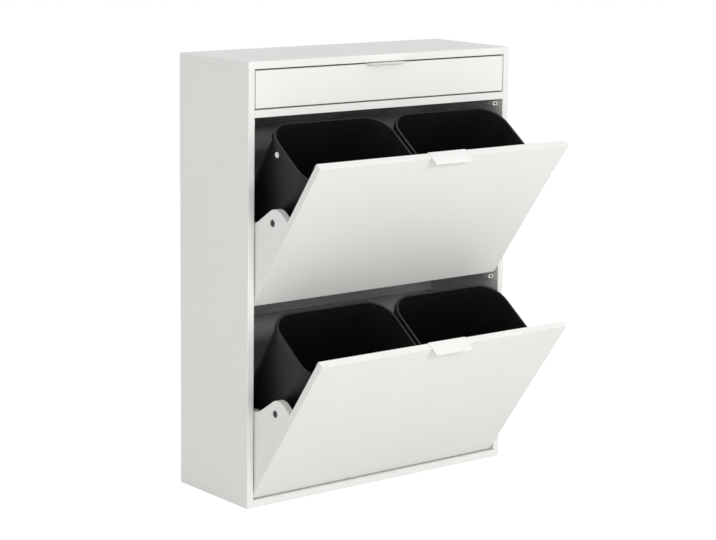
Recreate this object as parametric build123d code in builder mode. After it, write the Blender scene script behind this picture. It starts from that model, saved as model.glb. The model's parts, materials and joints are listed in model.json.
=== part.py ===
from build123d import *

import os
from math import cos, hypot, radians, sin, tan

# Slim floor cabinet with a shallow drawer over two tilt-out units.
# Each unit is a door with two wings, a tray and two loose bins, and it turns
# on pins near the door's foot.  Millimetres, +Z up, front facing -Y, origin at
# the centre of the footprint on the floor.  The units are drawn tilted open
# against their stops and the drawer is drawn closed.

# ---- Case -------------------------------------------------------------------
cabinet_width = 680.0
cabinet_depth = 240.0
cabinet_height = 900.0
board = 15.0  # coated board of the case, the doors and the drawer front
back_board = 3.0  # thin back, held in a rebate
back_inset = 1.0  # back face of the thin back to the rear edges
rebate = 8.0
edge_ease = 0.6  # eased edge of every coated board

# ---- Fronts, from the top down ----------------------------------------------
reveal = 3.0  # gap over and under a front
side_reveal = 2.0  # gap at each end of a front
drawer_front_height = 74.0
upper_door_height = 372.0
door_split = 4.0  # gap between the two doors

# ---- Tilting units ----------------------------------------------------------
tilt = 36.0  # degrees from upright when open
pivot_height = 15.0  # pivot above the door's foot
pin_radius = 3.0
pin_in_door = 12.0
bush_radius = 5.0
bush_flange_radius = 7.0
bush_flange = 0.8
bush_in_side = 11.0
pin_end_gap = 0.8  # pin's end to the bottom of its bush
running = 0.05  # radial clearance of a shaft in its hole
pocket = 0.1  # radial clearance of a fitting in its pocket
unit_back_gap = 13.0  # back of a closed unit to the rear stretcher
wing_foot = 3.0  # underside of the wings above the door's foot
tray_rail = 12.0  # board of the low rail at the tray's back
tray_rail_height = 34.0

# The bins and the wings that hold them hang at the same level under the top of
# each door, whatever the door's height.
tray_drop = 369.0  # underside of the tray under the door's top
wing_drop = 155.0  # flat top of the wings under the door's top
wing_shoulder = 61.6  # depth where the flat top would meet the steep edge
wing_dip_depth = 90.8  # depth where the steep edge would meet the rear edge
wing_dip_drop = 230.7
wing_rear_drop = 312.0  # rear corner under the door's top
shoulder_round = 32.0
dip_round = 40.0
rear_round = 6.0

# ---- Stops and catches ------------------------------------------------------
stop_inset = 19.0  # where the stop bears, in from the wing's rear end
stop_spigot_radius = 2.5
stop_radius = 4.0
stop_in_side = 10.0
stop_proud = 14.0
stop_gap = 0.2
catch_width = 12.0
catch_length = 20.0
catch_height = 8.0
catch_drop = 8.0  # centre of the catch under the door's top
strike_thickness = 1.2
strike_gap = 0.3
magnet_width = 6.0
magnet_depth = 3.0

# ---- Bins -------------------------------------------------------------------
bin_drop = 72.0  # rim under the door's top
bin_front_gap = 5.0
bin_back_gap = 3.0  # rim short of the unit's depth
bin_side_gap = 5.0
bin_between = 8.0
bin_corner = 55.0
bin_taper = 2.5  # degrees
bin_wall = 2.0
bin_floor = 2.5
bin_foot_round = 10.0
lip = 3.0  # how far the rim stands out from the wall
lip_sheet = 1.6
lip_drop = 11.0
plug_radius = 6.0
plug_shank = 4.0
plug_head = 1.5
plug_drop = 22.0  # centre under the rim
plug_depth = 140.0

# ---- Handles ----------------------------------------------------------------
pull_width = 96.0
pull_sheet = 1.5
pull_reach = 19.0
pull_leg = 22.0
pull_bend = 2.0
pull_edge = 0.5  # eased edges of the sheet
pull_screw_spacing = 64.0
pull_screw_drop = 13.0

# ---- Drawer -----------------------------------------------------------------
drawer_board = 12.0
drawer_back_gap = 16.0  # back of the drawer to the wall rail
drawer_box_height = 55.0
drawer_box_lift = 7.0  # underside of the box above the shelf
drawer_bottom = 3.0
groove_depth = 5.0
groove_lift = 6.0
groove_gap = 0.1
runner_gap = 12.5
runner_end_gap = 3.0  # runner to the wall rail
runner_height = 34.0
runner_sheet = 1.2
runner_flange = 9.5
runner_play = 0.3
runner_setback = 3.0

# ---- Hidden rails and fittings ----------------------------------------------
stretcher_height = 60.0
stretcher_foot = 340.0
wall_rail_height = 60.0
wall_hole_radius = 3.0
wall_hole_spacing = 400.0
cam_radius = 7.5
cam_depth = 12.0
cam_reach = 34.0  # centre of a cam from the joint it draws up
cam_slot = 1.2
bolt_radius = 3.0
bolt_bite = 11.0
dowel_radius = 4.0
dowel_length = 28.0
fitting_inset = 45.0  # front and back fittings from the board's edges
wing_cam_drops = (189.0, 338.0)  # cams of a wing under the door's top
wing_dowel_drop = 264.0
screw_radius = 1.75
screw_head = 3.5
screw_head_depth = 2.0  # sunk heads
pan_head_depth = 1.6
long_screw_bite = 30.0
short_screw_bite = 11.0
nail_radius = 0.9
nail_head = 2.2
nail_head_depth = 0.8
nail_length = 9.0  # under the head
nails_up = 6
nails_across = 5

# ---- Places that follow from the sizes --------------------------------------
front = -cabinet_depth / 2
back = cabinet_depth / 2
left = -cabinet_width / 2
inner_left = left + board
ceiling = cabinet_height - board
inner_back = back - back_inset - back_board
drawer_top = ceiling - reveal
drawer_foot = drawer_top - drawer_front_height
shelf_top = drawer_foot - reveal
shelf_foot = shelf_top - board
upper_foot = shelf_foot - reveal - upper_door_height
lower_foot = board + reveal
lower_door_height = upper_foot - door_split - lower_foot
front_left = inner_left + side_reveal
wing_inner = front_left + board
rail_face = inner_back - board  # front of the rails at the back of the case
unit_depth = rail_face - unit_back_gap - front
stop_depth = unit_depth - stop_inset
middle_depth = front + cabinet_depth / 2

TURNS = {"x": (0, 90, 0), "y": (90, 0, 0), "z": (0, 0, 0)}


def slab(x, y, z, mode=Mode.ADD):
    """Box that fills the ranges x, y and z of the part being built."""
    with Locations(((x[0] + x[1]) / 2, (y[0] + y[1]) / 2, (z[0] + z[1]) / 2)):
        Box(x[1] - x[0], y[1] - y[0], z[1] - z[0], mode=mode)


def rod(axis, start, end, across, radius, mode=Mode.ADD):
    """Cylinder along an axis from start to end; across holds its other two coordinates."""
    middle = (start + end) / 2
    centre = {
        "x": (middle, across[0], across[1]),
        "y": (across[0], middle, across[1]),
        "z": (across[0], across[1], middle),
    }[axis]
    with Locations(centre):
        Cylinder(radius, abs(end - start), rotation=TURNS[axis], mode=mode)


def cut_rod(axis, start, end, across, radius):
    """Round hole along an axis from start to end."""
    rod(axis, start, end, across, radius, mode=Mode.SUBTRACT)


def eased(piece):
    """Take the sharpness off every straight edge of a board."""
    chamfer(piece.edges().filter_by(GeomType.LINE), edge_ease)


def save(piece, name):
    """Label a piece and write its STEP file."""
    piece.part.label = name
    export_step(piece.part, f"parts/{name}.step")


def mirrored(piece):
    """The same piece on the other side of the cabinet."""
    with BuildPart() as other:
        mirror(piece.part, about=Plane.YZ)
    return other


def both_sides(piece):
    """A left-hand fitting together with its right-hand copy."""
    with BuildPart() as pair:
        add(piece.part)
        mirror(piece.part, about=Plane.YZ)
    return pair


def unit_plane(door_foot):
    """Frame of an open unit: X across, Y in from the door's outer face, Z up the door."""
    up = (0, -sin(radians(tilt)), cos(radians(tilt)))
    pivot = Plane((0, front + board / 2, door_foot + pivot_height), x_dir=(1, 0, 0), z_dir=up)
    return Plane(pivot * Location((0, -board / 2, -pivot_height)))


def in_room(frame, depth, height):
    """Depth and height in the cabinet of a point of a unit's frame."""
    point = (frame * Location((0, depth, height))).position
    return point.Y, point.Z


units = {
    "upper": (unit_plane(upper_foot), upper_door_height, upper_foot),
    "lower": (unit_plane(lower_foot), lower_door_height, lower_foot),
}
wing_fall = (wing_rear_drop - wing_dip_drop) / (unit_depth - wing_dip_depth)
stop_drop = wing_rear_drop - wing_fall * stop_inset
stop_drop -= (stop_radius + stop_gap) * hypot(1, wing_fall)
stops = [in_room(frame, stop_depth, height - stop_drop) for frame, height, _ in units.values()]
pivots = [in_room(frame, board / 2, pivot_height) for frame, _, _ in units.values()]
catch_levels = [foot + height - catch_drop for _, height, foot in units.values()]
catch_front = front + board + strike_thickness + strike_gap

# Fittings of the case: (depth, level) of each cam on a side board's inner face,
# with the way its bolt runs, and of each cam in the cross boards.
case_depths = (front + fitting_inset, inner_back - fitting_inset)
side_cam_levels = ((ceiling - cam_reach, ceiling), (board + cam_reach, board))
rail_middle = rail_face + board / 2
stretcher_middle = stretcher_foot + stretcher_height / 2
wall_rail_foot = ceiling - wall_rail_height
wall_rail_middle = wall_rail_foot + wall_rail_height / 2
shelf_middle = shelf_foot + board / 2
cross_bolts = [(depth, shelf_middle) for depth in case_depths]
cross_bolts += [(rail_middle, stretcher_middle), (rail_middle, wall_rail_middle)]
cross_cam_x = inner_left + cam_reach
side_middle = left + board / 2
runner_level = shelf_top + drawer_box_lift + drawer_box_height / 2
runner_front = front + board + runner_setback
runner_length = rail_face - runner_end_gap - runner_front
runner_depths = (runner_front + runner_length * 0.2, runner_front + runner_length * 0.8)


# ---- Case boards ------------------------------------------------------------
def side_board():
    """Left side, with the pockets and holes of its fittings."""
    with BuildPart() as side:
        slab((left, inner_left), (front, back), (board, ceiling))
        eased(side)
        slab((inner_left - rebate, inner_left), (inner_back, back), (board, ceiling), Mode.SUBTRACT)
        cut_nail_holes()
        for depth in case_depths:
            for level, joint in side_cam_levels:
                cut_rod("x", inner_left - cam_depth, inner_left, (depth, level), cam_radius + pocket)
                cut_rod("z", level, joint, (side_middle, depth), bolt_radius + pocket)
        for joint in (ceiling, board):
            half = dowel_length / 2
            cut_rod("z", joint - half, joint + half, (side_middle, middle_depth), dowel_radius + pocket)
        for depth, level in cross_bolts:
            cut_rod("x", inner_left - bolt_bite, inner_left, (depth, level), bolt_radius + pocket)
        bite = (inner_left - bolt_bite, inner_left)
        cut_rod("x", *bite, (middle_depth, shelf_middle), dowel_radius + pocket)
        for depth, level in pivots:
            cut_rod("x", inner_left - bush_in_side, inner_left, (depth, level), bush_radius + pocket)
        for depth, level in stops:
            bite = (inner_left - stop_in_side, inner_left)
            cut_rod("x", *bite, (depth, level), stop_spigot_radius + pocket)
        for depth in runner_depths:
            bite = (inner_left - short_screw_bite, inner_left)
            cut_rod("x", *bite, (depth, runner_level), screw_radius + pocket)
    return side


def cut_nail_holes():
    """Nail holes of the back, cut where they meet the board being built."""
    low = inner_back + back_board - nail_length
    for place in nail_places():
        cut_rod("y", low, inner_back, place, nail_radius + pocket)


def flat_board(foot, top, inside):
    """Top or bottom board, which caps the sides; inside is its face towards the case."""
    into = 1 if inside == foot else -1
    with BuildPart() as cap:
        slab((left, -left), (front, back), (foot, top))
        eased(cap)
        levels = sorted((inside, inside + into * rebate))
        slab((inner_left - rebate, rebate - inner_left), (inner_back, back), levels, Mode.SUBTRACT)
        cut_nail_holes()
        for x in (side_middle, -side_middle):
            for depth in case_depths:
                cut_rod("z", inside, inside + into * bolt_bite, (x, depth), bolt_radius + pocket)
            reach = into * dowel_length / 2
            cut_rod("z", inside, inside + reach, (x, middle_depth), dowel_radius + pocket)
    return cap


def cross_board(depths, levels, bolts, cams_from, dowels=()):
    """Board between the sides with cams near its ends; cams_from is the face that holds them."""
    axis, face, into = cams_from
    with BuildPart() as cross:
        slab((inner_left, -inner_left), depths, levels)
        eased(cross)
        for depth, level in bolts:
            across = {"z": (depth,), "y": (level,)}[axis]
            for side in (-1, 1):
                cam_x = -side * cross_cam_x
                end_x = -side * inner_left
                cut_rod(axis, face, face + into * cam_depth, (cam_x, *across), cam_radius + pocket)
                cut_rod("x", min(cam_x, end_x), max(cam_x, end_x), (depth, level), bolt_radius + pocket)
        for depth, level in dowels:
            reach = dowel_length - bolt_bite
            cut_rod("x", inner_left, inner_left + reach, (depth, level), dowel_radius + pocket)
            cut_rod("x", -inner_left - reach, -inner_left, (depth, level), dowel_radius + pocket)
    return cross


def case_cams():
    """Round cam fittings of the case, each with a screwdriver slot."""
    with BuildPart() as cams:
        for depth in case_depths:
            for level, _ in side_cam_levels:
                rod("x", inner_left - cam_depth, inner_left, (depth, level), cam_radius)
                slot = (level - cam_radius * 0.6, level + cam_radius * 0.6)
                width = (depth - cam_slot / 2, depth + cam_slot / 2)
                slab((inner_left - cam_slot, inner_left), width, slot, Mode.SUBTRACT)
            rod("z", shelf_foot, shelf_foot + cam_depth, (cross_cam_x, depth), cam_radius)
        for level in (stretcher_middle, wall_rail_middle):
            rod("y", rail_face, rail_face + cam_depth, (cross_cam_x, level), cam_radius)
    return both_sides(cams)


def case_bolts():
    """Steel bolts that the cams draw up."""
    with BuildPart() as bolts:
        for depth in case_depths:
            for level, joint in side_cam_levels:
                way = 1 if joint > level else -1
                start = level + way * (cam_radius + pocket)
                rod("z", start, joint + way * bolt_bite, (side_middle, depth), bolt_radius)
        end = cross_cam_x - cam_radius - pocket
        for place in cross_bolts:
            rod("x", inner_left - bolt_bite, end, place, bolt_radius)
    return both_sides(bolts)


def case_dowels():
    """Wooden dowels of the case."""
    with BuildPart() as dowels:
        for joint in (ceiling, board):
            half = dowel_length / 2
            rod("z", joint - half, joint + half, (side_middle, middle_depth), dowel_radius)
        start = inner_left - bolt_bite
        rod("x", start, start + dowel_length, (middle_depth, shelf_middle), dowel_radius)
    return both_sides(dowels)


def back_panel():
    """Thin back in its rebate, with the two wall-fixing holes."""
    fit = rebate - pocket
    faces = (inner_back, inner_back + back_board)
    with BuildPart() as panel:
        slab((inner_left - fit, fit - inner_left), faces, (board - fit, ceiling + fit))
        for x in (-wall_hole_spacing / 2, wall_hole_spacing / 2):
            cut_rod("y", *faces, (x, wall_rail_middle), wall_hole_radius)
        for place in nail_places():
            cut_rod("y", *faces, place, nail_radius + pocket)
    return panel


def nail_places():
    """Where the back is nailed: a row on each edge of the rebate."""
    edge = inner_left - rebate / 2
    low, high = board - rebate / 2, ceiling + rebate / 2
    ups = [low + (high - low) * (i + 0.5) / nails_up for i in range(nails_up)]
    acrosses = [edge - 2 * edge * (i + 0.5) / nails_across for i in range(nails_across)]
    places = [(x, level) for x in (edge, -edge) for level in ups]
    return places + [(x, level) for x in acrosses for level in (low, high)]


def back_nails():
    """Small nails that hold the back, with flat heads on its rear face."""
    face = inner_back + back_board
    with BuildPart() as nails:
        for x, level in nail_places():
            rod("y", face - nail_length, face, (x, level), nail_radius)
            rod("y", face, face + nail_head_depth, (x, level), nail_head)
    return nails


def wall_rail():
    """Rail under the top at the back, drilled for the wall screws."""
    faces = (rail_face, inner_back)
    bolts = [(rail_middle, wall_rail_middle)]
    rail = cross_board(faces, (wall_rail_foot, ceiling), bolts, ("y", faces[0], 1))
    with BuildPart() as drilled:
        add(rail.part)
        for x in (-wall_hole_spacing / 2, wall_hole_spacing / 2):
            cut_rod("y", faces[0], faces[1], (x, wall_rail_middle), wall_hole_radius)
    return drilled


# ---- Pivots, stops and catches of the case ----------------------------------
def pivot_bushes():
    """Flanged nylon bushes in the sides for the door pins."""
    with BuildPart() as bushes:
        for depth, level in pivots:
            rod("x", inner_left - bush_in_side, inner_left, (depth, level), bush_radius)
            rod("x", inner_left, inner_left + bush_flange, (depth, level), bush_flange_radius)
            bore = (inner_left - bush_in_side, inner_left + bush_flange)
            cut_rod("x", *bore, (depth, level), pin_radius + running)
    return both_sides(bushes)


def stop_studs():
    """Nylon studs in the sides, on which the wings bear at full tilt."""
    with BuildPart() as studs:
        for depth, level in stops:
            rod("x", inner_left - stop_in_side, inner_left, (depth, level), stop_spigot_radius)
            rod("x", inner_left, inner_left + stop_proud, (depth, level), stop_radius)
    return both_sides(studs)


def catches():
    """Magnetic catch housings on the sides near the top of each door."""
    with BuildPart() as housings:
        x = (inner_left, inner_left + catch_width)
        centre = inner_left + catch_width / 2
        middle = (centre - magnet_width / 2, centre + magnet_width / 2)
        for level in catch_levels:
            z = (level - catch_height / 2, level + catch_height / 2)
            slab(x, (catch_front, catch_front + catch_length), z)
        chamfer(housings.edges().filter_by(Axis.Y), edge_ease)
        for level in catch_levels:
            z = (level - catch_height / 4, level + catch_height / 4)
            slab(middle, (catch_front, catch_front + magnet_depth), z, Mode.SUBTRACT)
    return both_sides(housings)


def catch_magnets():
    """Magnets set into the front of the catch housings."""
    with BuildPart() as magnets:
        middle = inner_left + catch_width / 2
        for level in catch_levels:
            x = (middle - magnet_width / 2, middle + magnet_width / 2)
            z = (level - catch_height / 4, level + catch_height / 4)
            slab(x, (catch_front, catch_front + magnet_depth), z)
    return both_sides(magnets)


# ---- Drawer -----------------------------------------------------------------
drawer_plane = Plane((0, front, 0))
drawer_left = inner_left + runner_gap
drawer_inner = drawer_left + drawer_board
drawer_box_foot = shelf_top + drawer_box_lift
drawer_box_top = drawer_box_foot + drawer_box_height
drawer_back_face = rail_face - drawer_back_gap
groove_foot = drawer_box_foot + groove_lift
groove = (groove_foot - groove_gap, groove_foot + drawer_bottom + groove_gap)
drawer_screw_levels = [drawer_box_foot + drawer_box_height * part for part in (0.3, 0.75)]
drawer_cam_level = drawer_box_foot + drawer_box_height / 2
drawer_side_middle = drawer_left + drawer_board / 2
drawer_cam_depth = drawer_board - 3.0
runner_half = runner_height / 2


def edge_pull(frame, top):
    """Bent sheet pull over a front's top edge: leg behind it and a flat plate that stands out."""
    with BuildPart() as pull:
        with BuildSketch(Plane(frame * Plane.YZ.offset(-pull_width / 2))) as section:
            with BuildLine():
                Polyline(
                    (board, top - pull_leg),
                    (board + pull_sheet, top - pull_leg),
                    (board + pull_sheet, top + pull_sheet),
                    (-pull_reach, top + pull_sheet),
                    (-pull_reach, top),
                    (board, top),
                    close=True,
                )
            make_face()
            fillet(section.vertices().group_by(Axis.Y)[-1].sort_by(Axis.X)[-1], pull_bend)
            chamfer(section.vertices().group_by(Axis.X)[0], pull_edge)
        extrude(amount=pull_width)
        chamfer(pull.faces().sort_by(Axis.X)[0].edges(), pull_edge)
        chamfer(pull.faces().sort_by(Axis.X)[-1].edges(), pull_edge)
        for x in (-pull_screw_spacing / 2, pull_screw_spacing / 2):
            with Locations(Plane(frame * Plane.XZ.offset(-board - pull_sheet / 2)).location):
                with Locations((x, top - pull_screw_drop)):
                    Cylinder(screw_radius + pocket, pull_sheet, mode=Mode.SUBTRACT)
    return pull


def pull_screws(frame, top):
    """Pan-head screws that fix a pull to the back of a front."""
    with BuildPart(frame) as screws:
        for x in (-pull_screw_spacing / 2, pull_screw_spacing / 2):
            across = (x, top - pull_screw_drop)
            seat = board + pull_sheet
            rod("y", board - short_screw_bite, seat, across, screw_radius)
            rod("y", seat, seat + pan_head_depth, across, screw_head)
    return screws


def draw_front(panel, height):
    """Coated front with the screw holes of its pull, drawn in the panel being built."""
    slab((front_left, -front_left), (0, board), (0, height))
    eased(panel)
    for x in (-pull_screw_spacing / 2, pull_screw_spacing / 2):
        across = (x, height - pull_screw_drop)
        cut_rod("y", board - short_screw_bite, board, across, screw_radius + pocket)


def drawer_front():
    """Front of the drawer, grooved for the bottom and drilled for its bolts."""
    levels = [level - drawer_foot for level in groove]
    with BuildPart(Plane((0, front, drawer_foot))) as panel:
        draw_front(panel, drawer_front_height)
        groove_x = (drawer_inner - groove_depth, groove_depth - drawer_inner)
        slab(groove_x, (board - groove_depth, board), levels, Mode.SUBTRACT)
        for x in (drawer_side_middle, -drawer_side_middle):
            across = (x, drawer_cam_level - drawer_foot)
            cut_rod("y", board - bolt_bite, board, across, bolt_radius + pocket)
    return panel


def drawer_side():
    """Left side of the drawer box."""
    with BuildPart() as side:
        depths = (front + board, drawer_back_face)
        slab((drawer_left, drawer_inner), depths, (drawer_box_foot, drawer_box_top))
        eased(side)
        inner = (drawer_inner - groove_depth, drawer_inner)
        groove_end = drawer_back_face - drawer_board + groove_depth
        slab(inner, (front + board, groove_end), groove, Mode.SUBTRACT)
        cam_at = (front + board + cam_reach, drawer_cam_level)
        cut_rod("x", drawer_inner - drawer_cam_depth, drawer_inner, cam_at, cam_radius + pocket)
        bolt_at = (drawer_side_middle, drawer_cam_level)
        cut_rod("y", front + board, front + board + cam_reach, bolt_at, bolt_radius + pocket)
        for level in drawer_screw_levels:
            across = (drawer_back_face - drawer_board / 2, level)
            cut_rod("x", drawer_left, drawer_inner, across, screw_radius + pocket)
            cut_rod("x", drawer_left, drawer_left + screw_head_depth, across, screw_head + pocket)
    return side


def drawer_back():
    """Back of the drawer box, between its sides."""
    with BuildPart() as panel:
        depths = (drawer_back_face - drawer_board, drawer_back_face)
        slab((drawer_inner, -drawer_inner), depths, (drawer_box_foot, drawer_box_top))
        eased(panel)
        slab((drawer_inner, -drawer_inner), (depths[0], depths[0] + groove_depth), groove, Mode.SUBTRACT)
        for level in drawer_screw_levels:
            across = (drawer_back_face - drawer_board / 2, level)
            bite = long_screw_bite
            cut_rod("x", drawer_inner, drawer_inner + bite, across, screw_radius + pocket)
            cut_rod("x", -drawer_inner - bite, -drawer_inner, across, screw_radius + pocket)
    return panel


def drawer_floor():
    """Thin bottom held in the grooves."""
    reach = groove_depth - groove_gap
    with BuildPart() as panel:
        depths = (front + board - reach, drawer_back_face - drawer_board + reach)
        levels = (groove_foot, groove_foot + drawer_bottom)
        slab((drawer_inner - reach, reach - drawer_inner), depths, levels)
    return panel


def drawer_cams():
    """Cams on the inner faces of the drawer's sides."""
    with BuildPart() as cams:
        cam_at = (front + board + cam_reach, drawer_cam_level)
        rod("x", drawer_inner - drawer_cam_depth, drawer_inner, cam_at, cam_radius)
    return both_sides(cams)


def drawer_bolts():
    """Bolts from the drawer's front to its cams."""
    with BuildPart() as bolts:
        end = front + board + cam_reach - cam_radius - pocket
        rod("y", front + board - bolt_bite, end, (drawer_side_middle, drawer_cam_level), bolt_radius)
    return both_sides(bolts)


def drawer_screws():
    """Sunk screws through the drawer's sides into its back."""
    with BuildPart() as screws:
        for level in drawer_screw_levels:
            across = (drawer_back_face - drawer_board / 2, level)
            rod("x", drawer_left, drawer_left + screw_head_depth, across, screw_head)
            rod("x", drawer_left, drawer_inner + long_screw_bite, across, screw_radius)
    return both_sides(screws)


def runner_channel(web_face, flange_way, half_height):
    """Steel channel of a drawer runner: a web and two flanges."""
    with BuildPart() as channel:
        depths = (runner_front, runner_front + runner_length)
        low, high = runner_level - half_height, runner_level + half_height
        web = sorted((web_face, web_face + flange_way * runner_sheet))
        flange = sorted((web_face, web_face + flange_way * runner_flange))
        slab(web, depths, (low, high))
        slab(flange, depths, (low, low + runner_sheet))
        slab(flange, depths, (high - runner_sheet, high))
        if flange_way > 0:
            for depth in runner_depths:
                cut_rod("x", *web, (depth, runner_level), screw_radius + pocket)
    return both_sides(channel)


def runner_screws():
    """Screws that fix the outer channels to the sides."""
    with BuildPart() as screws:
        for depth in runner_depths:
            across = (depth, runner_level)
            seat = inner_left + runner_sheet
            rod("x", inner_left - short_screw_bite, seat, across, screw_radius)
            rod("x", seat, seat + pan_head_depth, across, screw_head)
    return both_sides(screws)


# ---- Tilting units ----------------------------------------------------------
wing_middle = front_left + board / 2
tray_screw_depths = (board + fitting_inset, unit_depth - fitting_inset)
rail_depths = (unit_depth - tray_rail, unit_depth)


def tray_top(height):
    """Upper face of the tray above the foot of a door of a height."""
    return height - tray_drop + board


def wing_screw_places(height):
    """Depth and height of the screws through a wing into the tray and its rail."""
    tray_middle = tray_top(height) - board / 2
    rail_middle_height = tray_top(height) + tray_rail_height / 2
    places = [(depth, tray_middle) for depth in tray_screw_depths]
    return places + [(unit_depth - tray_rail / 2, rail_middle_height)]


def door(frame, height):
    """Door of a unit, drilled for the pins, the wing bolts and the dowels."""
    with BuildPart(frame) as panel:
        draw_front(panel, height)
        for x in (front_left, -front_left):
            inward = 1 if x < 0 else -1
            hole = sorted((x, x + inward * pin_in_door))
            cut_rod("x", *hole, (board / 2, pivot_height), pin_radius + pocket)
            middle = x + inward * board / 2
            bite = (board - bolt_bite, board)
            for drop in wing_cam_drops:
                cut_rod("y", *bite, (middle, height - drop), bolt_radius + pocket)
            cut_rod("y", *bite, (middle, height - wing_dowel_drop), dowel_radius + pocket)
    return panel


def wing(frame, height):
    """Left wing: flat shoulder behind the door, an S-shaped drop and a long sloping rear."""
    with BuildPart(frame) as side:
        with BuildSketch(Plane(frame * Plane.YZ.offset(front_left))):
            with BuildLine():
                outline = [
                    (unit_depth, wing_foot),
                    (board, wing_foot),
                    (board, height - wing_drop),
                    (wing_shoulder, height - wing_drop),
                    (wing_dip_depth, height - wing_dip_drop),
                    (unit_depth, height - wing_rear_drop),
                ]
                FilletPolyline(
                    *outline,
                    radius=[rear_round, 0, 0, shoulder_round, dip_round, rear_round],
                    close=True,
                )
            make_face()
        extrude(amount=board)
        chamfer(side.faces().filter_by(Axis.X).edges(), edge_ease)
        for drop in wing_cam_drops:
            level = height - drop
            cam_at = (board + cam_reach, level)
            cut_rod("x", front_left, front_left + cam_depth, cam_at, cam_radius + pocket)
            cut_rod("y", board, board + cam_reach, (wing_middle, level), bolt_radius + pocket)
        dowel_end = board + dowel_length - bolt_bite
        dowel_at = (wing_middle, height - wing_dowel_drop)
        cut_rod("y", board, dowel_end, dowel_at, dowel_radius + pocket)
        for place in wing_screw_places(height):
            cut_rod("x", front_left, wing_inner, place, screw_radius + pocket)
            cut_rod("x", front_left, front_left + screw_head_depth, place, screw_head + pocket)
    return side


def tray(frame, height):
    """Floor of a unit, which carries the bins."""
    top = tray_top(height)
    with BuildPart(frame) as floor:
        slab((wing_inner, -wing_inner), (board, unit_depth), (top - board, top))
        eased(floor)
        drill_ends(wing_screw_places(height)[:-1])
    return floor


def tray_back_rail(frame, height):
    """Low rail across the back of the tray."""
    foot = tray_top(height)
    with BuildPart(frame) as rail:
        slab((wing_inner, -wing_inner), rail_depths, (foot, foot + tray_rail_height))
        eased(rail)
        drill_ends(wing_screw_places(height)[-1:])
    return rail


def drill_ends(places):
    """Screw holes in both ends of a board between the wings."""
    for place in places:
        bite = long_screw_bite
        cut_rod("x", wing_inner, wing_inner + bite, place, screw_radius + pocket)
        cut_rod("x", -wing_inner - bite, -wing_inner, place, screw_radius + pocket)


def wing_cams(frame, height):
    """Cams in the wings' outer faces, slotted for a screwdriver."""
    with BuildPart(frame) as cams:
        for drop in wing_cam_drops:
            depth = board + cam_reach
            level = height - drop
            rod("x", front_left, front_left + cam_depth, (depth, level), cam_radius)
            slot = (level - cam_radius * 0.6, level + cam_radius * 0.6)
            width = (depth - cam_slot / 2, depth + cam_slot / 2)
            slab((front_left, front_left + cam_slot), width, slot, Mode.SUBTRACT)
    return both_sides(cams)


def wing_bolts(frame, height):
    """Bolts from the door to the wings' cams."""
    with BuildPart(frame) as bolts:
        for drop in wing_cam_drops:
            end = board + cam_reach - cam_radius - pocket
            rod("y", board - bolt_bite, end, (wing_middle, height - drop), bolt_radius)
    return both_sides(bolts)


def wing_dowels(frame, height):
    """Dowels between the door and the wings."""
    with BuildPart(frame) as dowels:
        start = board - bolt_bite
        dowel_at = (wing_middle, height - wing_dowel_drop)
        rod("y", start, start + dowel_length, dowel_at, dowel_radius)
    return both_sides(dowels)


def tray_screws(frame, height):
    """Sunk screws through the wings into the tray and its rail."""
    with BuildPart(frame) as screws:
        for place in wing_screw_places(height):
            rod("x", front_left, front_left + screw_head_depth, place, screw_head)
            rod("x", front_left, wing_inner + long_screw_bite, place, screw_radius)
    return both_sides(screws)


def pivot_pins(frame):
    """Steel pins from the door's ends into the bushes."""
    with BuildPart(frame) as pins:
        end = inner_left - bush_in_side + pin_end_gap
        rod("x", end, front_left + pin_in_door, (board / 2, pivot_height), pin_radius)
    return both_sides(pins)


def strikes(frame, height):
    """Steel strike plates on the door's inner face, opposite the magnets."""
    with BuildPart(frame) as plates:
        level = height - catch_drop
        x = (front_left, inner_left + catch_width)
        z = (level - catch_height / 2, level + catch_height / 2)
        slab(x, (board, board + strike_thickness), z)
    return both_sides(plates)


# ---- Bins -------------------------------------------------------------------
bin_depths = (board + bin_front_gap, unit_depth - bin_back_gap)
bin_left = wing_inner + bin_side_gap
bin_width = -bin_between / 2 - bin_left
bin_length = bin_depths[1] - bin_depths[0]
bin_height = tray_drop - board - bin_drop
plug_wall = bin_left + lip + (plug_drop - plug_radius) * tan(radians(bin_taper))


def bin_shell(frame, rim, side, plugged=False):
    """Tapered bin with round corners and a turned-down rim; side is -1 left or 1 right."""
    centre = (side * (bin_width + bin_between) / 2, (bin_depths[0] + bin_depths[1]) / 2)
    rim_plane = Plane(frame * Location((*centre, rim)))
    down = Axis(rim_plane.origin, -rim_plane.z_dir)
    inset = lip + bin_wall
    with BuildPart() as hollow:
        with BuildSketch(rim_plane):
            RectangleRounded(bin_width - 2 * inset, bin_length - 2 * inset, bin_corner - inset)
        extrude(amount=-(bin_height - bin_floor), taper=bin_taper)
        fillet(hollow.faces().sort_by(down)[-1].edges(), bin_foot_round - bin_wall)
    with BuildPart() as shell:
        with BuildSketch(rim_plane):
            RectangleRounded(bin_width - 2 * lip, bin_length - 2 * lip, bin_corner - lip)
        extrude(amount=-bin_height, taper=bin_taper)
        fillet(shell.faces().sort_by(down)[-1].edges(), bin_foot_round)
        with BuildSketch(rim_plane):
            RectangleRounded(bin_width, bin_length, bin_corner)
        extrude(amount=-lip_sheet)
        with BuildSketch(rim_plane):
            RectangleRounded(bin_width, bin_length, bin_corner)
            skirt = 2 * lip_sheet
            RectangleRounded(
                bin_width - skirt, bin_length - skirt, bin_corner - lip_sheet, mode=Mode.SUBTRACT
            )
        extrude(amount=-lip_drop)
        add(hollow.part, mode=Mode.SUBTRACT)
        if plugged:
            with Locations(frame * Location((plug_wall, plug_depth, rim - plug_drop))):
                Cylinder(plug_shank + pocket, 4 * bin_wall, rotation=TURNS["x"], mode=Mode.SUBTRACT)
    return shell


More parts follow.
